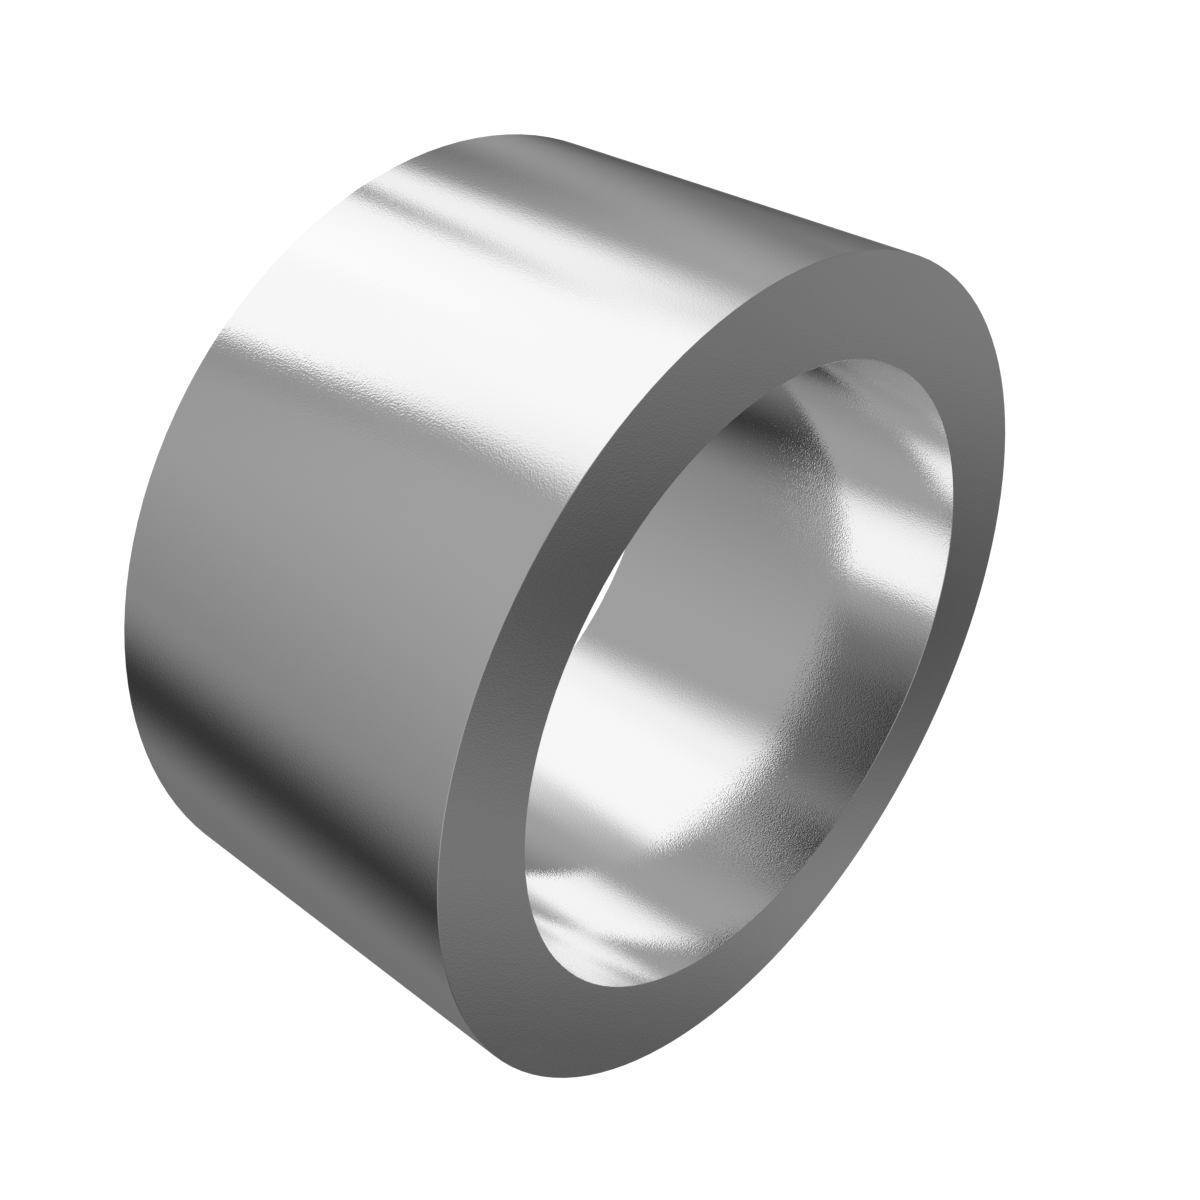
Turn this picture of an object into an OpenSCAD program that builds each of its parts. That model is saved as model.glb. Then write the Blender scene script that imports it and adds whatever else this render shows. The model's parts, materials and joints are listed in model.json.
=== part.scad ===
// Spacer sleeve: a plain turned ring that slips over a shaft or bolt and holds two parts apart.
// It stands on one end face, with its axis along +Z and its origin at the centre of that face.

/* [Sleeve] */
// Diameter of the bore that slips over the shaft or bolt
bore_d = 24.5; // [6:0.5:80]
// Thickness of the wall, from the bore to the outside
wall = 3.75; // [1:0.25:20]
// Length between the two end faces, which is the gap that the sleeve keeps
sleeve_length = 16; // [4:0.5:120]

/* [Deburred edges] */
// Width of the 45 degree edge break round the outside of each end face
outer_edge_break = 0.02; // [0.02:0.01:0.3]
// Width of the 45 degree edge break round the mouth of the bore at each end face
bore_edge_break = 0.02; // [0.02:0.01:0.3]

/* [Hidden] */
bore_r = bore_d / 2;
outer_r = bore_r + wall;
turned_fn = 180;
satin_steel = [0.97, 0.97, 0.97];

// Section of the wall on one side of the axis, with each of its four corners cut at 45 degrees
module wall_section() {
    polygon([
        [bore_r + bore_edge_break, 0],
        [outer_r - outer_edge_break, 0],
        [outer_r, outer_edge_break],
        [outer_r, sleeve_length - outer_edge_break],
        [outer_r - outer_edge_break, sleeve_length],
        [bore_r + bore_edge_break, sleeve_length],
        [bore_r, sleeve_length - bore_edge_break],
        [bore_r, bore_edge_break]
    ]);
}

// The whole sleeve, turned in one piece from bar or tube
module sleeve() {
    color(satin_steel)
        rotate_extrude($fn = turned_fn)
            wall_section();
}

sleeve();
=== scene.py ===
"""Looks of a turned spacer sleeve: satin metal, the studio that it reflects, a pale floor and a camera."""

import json
from collections import namedtuple
from math import cos, radians, sin

import bpy
from bpy.props import FloatProperty, FloatVectorProperty, PointerProperty
from mathutils import Matrix, Vector


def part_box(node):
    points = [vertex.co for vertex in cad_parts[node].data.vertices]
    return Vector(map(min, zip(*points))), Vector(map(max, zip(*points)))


bl_info = {
    "name": "Spacer sleeve looks",
    "version": (1, 0, 0),
    "blender": (4, 5, 0),
    "location": "View3D > Sidebar > Sleeve",
    "description": "Finishes a turned spacer sleeve and sets up the studio that its metal reflects",
    "category": "Object",
}

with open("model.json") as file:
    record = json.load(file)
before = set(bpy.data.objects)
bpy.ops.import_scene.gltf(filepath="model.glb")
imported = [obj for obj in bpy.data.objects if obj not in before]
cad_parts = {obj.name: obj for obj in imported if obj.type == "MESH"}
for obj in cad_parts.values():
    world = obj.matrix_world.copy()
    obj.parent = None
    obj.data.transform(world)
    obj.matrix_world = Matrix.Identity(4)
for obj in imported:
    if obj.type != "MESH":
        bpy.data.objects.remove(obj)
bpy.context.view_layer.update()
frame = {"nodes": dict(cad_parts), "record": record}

SLEEVE = "sleeve"
MILLIMETRE = 0.001
metal_slot = frame["record"]["materials"][0]
sleeve_low, sleeve_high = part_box(SLEEVE)
sleeve_radius = sleeve_high.x

# Distance over which the roughness drifts, and the levels of its noise at which the drift begins and ends
DRIFT_SIZE = 2.5 * MILLIMETRE
DRIFT_BEGINS = 0.3
DRIFT_ENDS = 0.7

# The mesh is closed where points lie nearer than this, and stays crisp where its faces turn by more than this
WELD_DISTANCE = 0.001 * MILLIMETRE
CRISP_ANGLE = radians(20)

# Light goes back and forth in the bore, and with few reflections its corners turn black
REFLECTIONS = 24

# From the middle of the floor to each side
FLOOR_REACH = 40 * sleeve_radius
# Width of the camera's sensor in millimetres
SENSOR_WIDTH = 36.0
# Distance from one shader node to the next in the editor
NODE_SPACING = 180
WHITE = (1.0, 1.0, 1.0, 1.0)

# A soft-edged card of light or shade round the sleeve. Azimuth 0 is the front (-Y) and 90 the right (+X), and
# elevation 0 is level, all in degrees. Its level covers what lies behind it. For each degree of elevation, a
# card leans by so many degrees of azimuth, narrows by its taper, and its sides get softer by its spread.
Card = namedtuple(
    "Card",
    "name azimuth elevation half_width half_height soft_width soft_height level lean taper spread",
    defaults=(0.0, 0.0, 0.0),
)
# Half height of a card that reaches past the top and the bottom
TALL = 200
# Width in degrees of the crispest side that a card can have
CRISPEST_SIDE = 1.0
HALF_TURN = 180.0

# Each card covers those above it in this list
CARDS = (
    # Walls, wide and tall
    Card("grey wall", 50, -40, 80, TALL, 62, 10, 0.355, lean=0.63),
    Card("foot of the grey wall", 38, -58, 14, 6, 44, 24, 0.20),
    Card("side wall", 118, -40, 30, TALL, 80, 10, 0.23, lean=0.7),
    Card("low gap", 141, -40, 14.5, TALL, 28.5, 10, 0.035, lean=0.36, spread=0.5),
    Card("right wall", -52, -40, 32, TALL, 36, 10, 0.357, lean=1.8),
    # Gaps and strips between the walls, which show mostly in the bore
    Card("right gap", -105, -37, 5, 7, 18, 12, 0.09),
    Card("right ridge", -85, -30, 3, 2, 14, 8, 0.23),
    Card("back gap", -127, -21.5, 40, 2.5, 44, 1.5, 0.03),
    Card("back strip", 139, -26.7, 29.5, 1.1, 38, 2.2, 0.66, lean=-9.0),
    Card("end of the low gap", 129, -23.3, 25, 1.2, 36, 1.3, 0.03),
    Card("right hole", -62, -47, 10, 6, 34, 16, 0.10),
    # Softboxes, with a darker frame on one side and a seam between them
    Card("softbox frame", 34, -46, 1, 4, 13, 20, 0.23, lean=-0.7),
    Card("second softbox", -36.6, -47, 10.6, 15, 8.5, 15, 0.895, lean=0.3, spread=0.5),
    Card("softbox", -3, -40, 26, 60, 9.5, 10, 0.89, lean=0.2, taper=-0.18, spread=0.9),
    Card("softbox middle", -6, -40, 20, 60, 13, 10, 0.957, lean=-0.25),
    Card("softbox glow", -5, -50, 10, 8, 14, 12, 0.993),
    Card("softbox corner", 13, -47.6, 15, 6.4, 4, 7.6, 0.953, lean=-0.65),
    Card("softbox seam", -33.5, -49, 2.6, 5, 6.4, 16, 0.09, lean=0.6),
    # Above the horizon, where the upper end face looks
    Card("upper left wall", -113, 30, 6, 12, 12, 10, 0.20, lean=0.7),
    Card("upper gap", -131, 29, 6, 11, 13, 13, 0.08, lean=-0.4),
    Card("upper ridge", -140, 20, 3, 6, 13, 14, 0.28, lean=-0.5),
    Card("upper gap 2", -152, 29, 4, 9, 14, 7, 0.08, lean=-0.8),
)


class SleeveFinish(bpy.types.PropertyGroup):
    """Colour and surface of the metal"""

    metal: FloatVectorProperty(
        name="Metal colour",
        description="What the bare metal sends back",
        subtype="COLOR",
        default=metal_slot["base_color"],
        min=0.0,
        max=1.0,
    )
    roughness: FloatProperty(
        name="Roughness",
        description="Roughness of the satin finish",
        subtype="FACTOR",
        default=0.06,
        min=0.0,
        max=1.0,
    )
    grain_size: FloatProperty(
        name="Grain size",
        description="Distance from one dimple of the fine grain to the next",
        subtype="DISTANCE",
        unit="LENGTH",
        default=0.06 * MILLIMETRE,
        min=0.01 * MILLIMETRE,
        max=2 * MILLIMETRE,
    )
    grain_depth: FloatProperty(
        name="Grain depth",
        description="Height of the fine grain from its lowest to its highest point",
        subtype="DISTANCE",
        unit="LENGTH",
        default=0.002 * MILLIMETRE,
        min=0.0,
        max=0.05 * MILLIMETRE,
    )
    drift: FloatProperty(
        name="Drift",
        description="How far the roughness slowly drifts up and down",
        subtype="FACTOR",
        default=0.01,
        min=0.0,
        max=1.0,
    )


class SleeveStage(bpy.types.PropertyGroup):
    """Floor, studio and camera"""

    studio_level: FloatProperty(
        name="Studio level",
        description="Brightness of all the cards of the studio together",
        default=1.0,
        min=0.0,
        max=4.0,
    )
    between_cards: FloatProperty(
        name="Between the cards",
        description="Brightness of the studio where there is no card",
        default=0.166,
        min=0.0,
        max=1.0,
    )
    floor_glow: FloatProperty(
        name="Floor glow",
        description="How much of the floor's white is there in full shadow",
        default=0.93,
        min=0.0,
        max=1.0,
    )
    floor_tone: FloatProperty(
        name="Floor tone",
        description="How much of the studio's light the pale floor adds to its glow",
        default=0.5,
        min=0.0,
        max=1.0,
    )
    camera_azimuth: FloatProperty(
        name="Camera azimuth",
        description="Direction of the camera round the sleeve, from the front towards the right",
        subtype="ANGLE",
        unit="ROTATION",
        default=radians(46.42),
    )
    camera_elevation: FloatProperty(
        name="Camera elevation",
        description="Height of the camera above the horizon",
        subtype="ANGLE",
        unit="ROTATION",
        default=radians(33.52),
    )
    camera_distance: FloatProperty(
        name="Camera distance",
        description="Distance from the camera to the middle of the sleeve",
        subtype="DISTANCE",
        unit="LENGTH",
        default=64.58 * MILLIMETRE,
        min=40 * MILLIMETRE,
        max=1.0,
    )
    lens: FloatProperty(
        name="Lens",
        description="Focal length for a 36 mm sensor",
        subtype="DISTANCE_CAMERA",
        unit="CAMERA",
        default=50.0,
        min=10.0,
        max=200.0,
    )


class NodeDesk:
    """Adds nodes to one tree, from left to right."""

    def __init__(self, tree):
        self.tree = tree
        self.tree.nodes.clear()
        self.made = 0

    def node(self, kind, **settings):
        made = self.tree.nodes.new(kind)
        self.made += 1
        made.location = (NODE_SPACING * self.made, 0)
        for key, value in settings.items():
            setattr(made, key, value)
        return made

    def plug(self, value, socket):
        """Links an output to the socket, or sets the socket's own value."""
        if isinstance(value, bpy.types.NodeSocket):
            self.tree.links.new(value, socket)
        else:
            socket.default_value = value

    def math(self, operation, *values):
        made = self.node("ShaderNodeMath", operation=operation)
        for value, socket in zip(values, made.inputs):
            self.plug(value, socket)
        return made.outputs[0]

    def ramp(self, value, start, end, low=0.0, high=1.0):
        """A smooth step from low at start to high at end."""
        made = self.node("ShaderNodeMapRange", interpolation_type="SMOOTHSTEP")
        for given, name in zip(
            (value, start, end, low, high),
            ("Value", "From Min", "From Max", "To Min", "To Max"),
        ):
            self.plug(given, made.inputs[name])
        return made.outputs["Result"]

    def group(self, group, **values):
        made = self.node("ShaderNodeGroup", node_tree=group)
        for name, value in values.items():
            self.plug(value, made.inputs[name.replace("_", " ").capitalize()])
        return made


def new_group(name, inputs, outputs):
    """A shader node group with these sockets. Returns its desk, its inputs and its output sockets."""
    group = bpy.data.node_groups.new(name, "ShaderNodeTree")
    for socket, default in inputs.items():
        kind = "NodeSocketVector" if default is None else "NodeSocketFloat"
        made = group.interface.new_socket(socket, in_out="INPUT", socket_type=kind)
        if default is not None:
            made.default_value = default
    for socket in outputs:
        group.interface.new_socket(socket, in_out="OUTPUT", socket_type="NodeSocketFloat")
    desk = NodeDesk(group)
    return desk, desk.node("NodeGroupInput").outputs, desk.node("NodeGroupOutput").inputs


def studio_card_group():
    """One soft-edged card: covers the level behind it where the direction lies on the card."""
    name = "studio_card"
    if name in bpy.data.node_groups:
        return bpy.data.node_groups[name]
    inputs = {
        "Behind": 0.0,
        "Azimuth": 0.0,
        "Elevation": 0.0,
        "Centre azimuth": 0.0,
        "Centre elevation": 0.0,
        "Half width": 20.0,
        "Half height": 20.0,
        "Lean": 0.0,
        "Taper": 0.0,
        "Soft width": 5.0,
        "Soft height": 5.0,
        "Spread": 0.0,
        "Level": 1.0,
    }
    desk, given, made = new_group(name, inputs, ["Level"])
    up = desk.math("SUBTRACT", given["Elevation"], given["Centre elevation"])
    middle = desk.math("MULTIPLY_ADD", up, given["Lean"], given["Centre azimuth"])
    offset = desk.math("SUBTRACT", given["Azimuth"], middle)
    across = desk.math("WRAP", offset, HALF_TURN, -HALF_TURN)
    narrowing = desk.math("MULTIPLY", up, given["Taper"])
    half_width = desk.math("SUBTRACT", given["Half width"], narrowing)

    def cover(away, half, soft):
        outside = desk.math("MULTIPLY_ADD", soft, 0.5, half)
        inside = desk.math("MULTIPLY_ADD", soft, -0.5, half)
        return desk.ramp(desk.math("ABSOLUTE", away), outside, inside)

    soft_width = desk.math("MULTIPLY_ADD", up, given["Spread"], given["Soft width"])
    wide = cover(across, half_width, desk.math("MAXIMUM", soft_width, CRISPEST_SIDE))
    high = cover(up, given["Half height"], given["Soft height"])
    mask = desk.math("MULTIPLY", wide, high)
    change = desk.math("SUBTRACT", given["Level"], given["Behind"])
    desk.plug(desk.math("MULTIPLY_ADD", change, mask, given["Behind"]), made["Level"])
    return desk.tree


def fine_grain_group():
    """Fine, even dimples like orange peel, with a slow drift in how rough the metal is."""
    name = "fine_grain"
    if name in bpy.data.node_groups:
        return bpy.data.node_groups[name]
    inputs = {"Coordinate": None, "Grain per metre": 16000.0, "Roughness": 0.06, "Drift": 0.01}
    desk, given, made = new_group(name, inputs, ["Height", "Roughness"])
    dimples = desk.node("ShaderNodeTexNoise", noise_dimensions="3D")
    desk.plug(given["Coordinate"], dimples.inputs["Vector"])
    desk.plug(given["Grain per metre"], dimples.inputs["Scale"])
    dimples.inputs["Detail"].default_value = 0.0
    desk.plug(dimples.outputs[0], made["Height"])
    cloud = desk.node("ShaderNodeTexNoise", noise_dimensions="3D")
    desk.plug(given["Coordinate"], cloud.inputs["Vector"])
    cloud.inputs["Scale"].default_value = 1.0 / DRIFT_SIZE
    low = desk.math("SUBTRACT", given["Roughness"], given["Drift"])
    high = desk.math("ADD", given["Roughness"], given["Drift"])
    drifting = desk.ramp(cloud.outputs[0], DRIFT_BEGINS, DRIFT_ENDS, low, high)
    desk.plug(drifting, made["Roughness"])
    return desk.tree


def new_material(name):
    """A node material with nothing in its tree. Returns it and its desk."""
    material = bpy.data.materials.new(name)
    material.use_nodes = True
    return material, NodeDesk(material.node_tree)


def satin_steel(finish):
    """Bright turned metal with a fine, even grain."""
    material, desk = new_material(metal_slot["slot"])
    place = desk.node("ShaderNodeTexCoord").outputs["Object"]
    grain = desk.group(
        fine_grain_group(),
        coordinate=place,
        grain_per_metre=1.0 / finish.grain_size,
        roughness=finish.roughness,
        drift=finish.drift,
    )
    bump = desk.node("ShaderNodeBump")
    bump.inputs["Distance"].default_value = finish.grain_depth
    desk.plug(grain.outputs["Height"], bump.inputs["Height"])
    shader = desk.node("ShaderNodeBsdfPrincipled")
    shader.inputs["Base Color"].default_value = (*finish.metal, 1.0)
    shader.inputs["Metallic"].default_value = 1.0
    desk.plug(grain.outputs["Roughness"], shader.inputs["Roughness"])
    desk.plug(bump.outputs[0], shader.inputs["Normal"])
    output = desk.node("ShaderNodeOutputMaterial")
    desk.plug(shader.outputs[0], output.inputs["Surface"])
    return material


def close_seam(sleeve):
    """Shades the walls smoothly all round: closes the mesh where the turn begins, with the rims crisp."""
    weld = sleeve.modifiers.new("closed seam", "WELD")
    weld.merge_threshold = WELD_DISTANCE
    split = sleeve.modifiers.new("crisp rims", "EDGE_SPLIT")
    split.split_angle = CRISP_ANGLE
    split.use_edge_sharp = False


def floor_white(stage):
    """A pale floor that looks white to the camera and still takes the sleeve's faint shadow."""
    material, desk = new_material("floor_white")
    seen = desk.node("ShaderNodeLightPath").outputs["Is Camera Ray"]
    shader = desk.node("ShaderNodeBsdfPrincipled")
    shader.inputs["Base Color"].default_value = (stage.floor_tone,) * 3 + (1.0,)
    shader.inputs["Roughness"].default_value = 1.0
    shader.inputs["Specular IOR Level"].default_value = 0.0
    shader.inputs["Emission Color"].default_value = WHITE
    desk.plug(desk.math("MULTIPLY", seen, stage.floor_glow), shader.inputs["Emission Strength"])
    output = desk.node("ShaderNodeOutputMaterial")
    desk.plug(shader.outputs[0], output.inputs["Surface"])
    return material


def lay_floor(stage):
    """A wide floor under the sleeve, whose metal looks past it into the studio all the way round."""
    signs = ((-1, -1), (1, -1), (1, 1), (-1, 1))
    corners = [(FLOOR_REACH * x, FLOOR_REACH * y, 0) for x, y in signs]
    mesh = bpy.data.meshes.new("floor")
    mesh.from_pydata(corners, [], [(0, 1, 2, 3)])
    mesh.materials.append(floor_white(stage))
    floor = bpy.data.objects.new("floor", mesh)
    bpy.context.scene.collection.objects.link(floor)
    floor.location.z = sleeve_low.z
    floor.visible_glossy = False


def light_studio(stage):
    """The world: cards of light and shade round the metal, and plain white behind the floor's edge."""
    world = bpy.data.worlds.new("studio")
    world.use_nodes = True
    world.cycles.sampling_method = "NONE"
    bpy.context.scene.world = world
    desk = NodeDesk(world.node_tree)
    direction = desk.node("ShaderNodeSeparateXYZ")
    desk.plug(desk.node("ShaderNodeTexCoord").outputs["Generated"], direction.inputs[0])
    x, y, z = direction.outputs
    from_front = desk.math("ARCTAN2", x, desk.math("MULTIPLY", y, -1.0))
    azimuth = desk.math("DEGREES", from_front)
    elevation = desk.math("DEGREES", desk.math("ARCSINE", z))
    level = stage.between_cards
    for card in CARDS:
        placed = desk.group(
            studio_card_group(),
            behind=level,
            azimuth=azimuth,
            elevation=elevation,
            centre_azimuth=card.azimuth,
            centre_elevation=card.elevation,
            half_width=card.half_width,
            half_height=card.half_height,
            lean=card.lean,
            taper=card.taper,
            soft_width=card.soft_width,
            soft_height=card.soft_height,
            spread=card.spread,
            level=card.level,
        )
        placed.label = card.name
        level = placed.outputs[0]
    cards = desk.node("ShaderNodeBackground")
    desk.plug(level, cards.inputs["Color"])
    cards.inputs["Strength"].default_value = stage.studio_level
    white = desk.node("ShaderNodeBackground")
    white.inputs["Color"].default_value = WHITE
    path = desk.node("ShaderNodeLightPath").outputs
    seen = desk.math("MAXIMUM", path["Is Camera Ray"], path["Is Transmission Ray"])
    choice = desk.node("ShaderNodeMixShader")
    desk.plug(seen, choice.inputs[0])
    desk.plug(cards.outputs[0], choice.inputs[1])
    desk.plug(white.outputs[0], choice.inputs[2])
    output = desk.node("ShaderNodeOutputWorld")
    desk.plug(choice.outputs[0], output.inputs["Surface"])


def place_camera(stage):
    """Looks at the sleeve's middle from the front right, turned so that the picture's top points to -Y."""
    azimuth, elevation = stage.camera_azimuth, stage.camera_elevation
    back = Vector((sin(azimuth) * cos(elevation), -cos(azimuth) * cos(elevation), sin(elevation)))
    right = Vector((0.0, -1.0, 0.0)).cross(back).normalized()
    camera = bpy.data.objects.new("camera", bpy.data.cameras.new("camera"))
    bpy.context.scene.collection.objects.link(camera)
    camera.data.lens = stage.lens
    camera.data.sensor_width = SENSOR_WIDTH
    camera.data.clip_start = MILLIMETRE
    middle = (sleeve_low + sleeve_high) / 2
    turn = Matrix((right, back.cross(right), back)).transposed().to_4x4()
    camera.matrix_world = Matrix.Translation(middle + back * stage.camera_distance) @ turn
    bpy.context.scene.camera = camera


class SLEEVE_OT_finish_metal(bpy.types.Operator):
    """Gives the sleeve its satin metal"""

    bl_idname = "sleeve.finish_metal"
    bl_label = "Finish the metal"

    def execute(self, context):
        sleeve = frame["nodes"][SLEEVE]
        sleeve.material_slots[0].material = satin_steel(context.scene.sleeve_finish)
        close_seam(sleeve)
        return {"FINISHED"}


class SLEEVE_OT_set_stage(bpy.types.Operator):
    """Lays the floor, lights the studio and places the camera"""

    bl_idname = "sleeve.set_stage"
    bl_label = "Set the stage"

    def execute(self, context):
        stage = context.scene.sleeve_stage
        lay_floor(stage)
        light_studio(stage)
        place_camera(stage)
        context.scene.view_settings.view_transform = "Standard"
        context.scene.cycles.max_bounces = REFLECTIONS
        context.scene.cycles.glossy_bounces = REFLECTIONS
        context.scene.cycles.use_denoising = False
        return {"FINISHED"}


class SLEEVE_PT_sidebar(bpy.types.Panel):
    """Settings and steps for the sleeve's looks"""

    bl_idname = "SLEEVE_PT_sidebar"
    bl_label = "Spacer sleeve"
    bl_space_type = "VIEW_3D"
    bl_region_type = "UI"
    bl_category = "Sleeve"

    def draw(self, context):
        for settings in (context.scene.sleeve_finish, context.scene.sleeve_stage):
            box = self.layout.box()
            for name in settings.__annotations__:
                box.prop(settings, name)
        self.layout.operator(SLEEVE_OT_finish_metal.bl_idname)
        self.layout.operator(SLEEVE_OT_set_stage.bl_idname)


CLASSES = (
    SleeveFinish,
    SleeveStage,
    SLEEVE_OT_finish_metal,
    SLEEVE_OT_set_stage,
    SLEEVE_PT_sidebar,
)


def register():
    for cls in CLASSES:
        bpy.utils.register_class(cls)
    bpy.types.Scene.sleeve_finish = PointerProperty(type=SleeveFinish)
    bpy.types.Scene.sleeve_stage = PointerProperty(type=SleeveStage)


def unregister():
    del bpy.types.Scene.sleeve_stage
    del bpy.types.Scene.sleeve_finish
    for cls in reversed(CLASSES):
        bpy.utils.unregister_class(cls)


def main():
    register()
    bpy.ops.sleeve.finish_metal()
    bpy.ops.sleeve.set_stage()


if __name__ == "__main__":
    main()
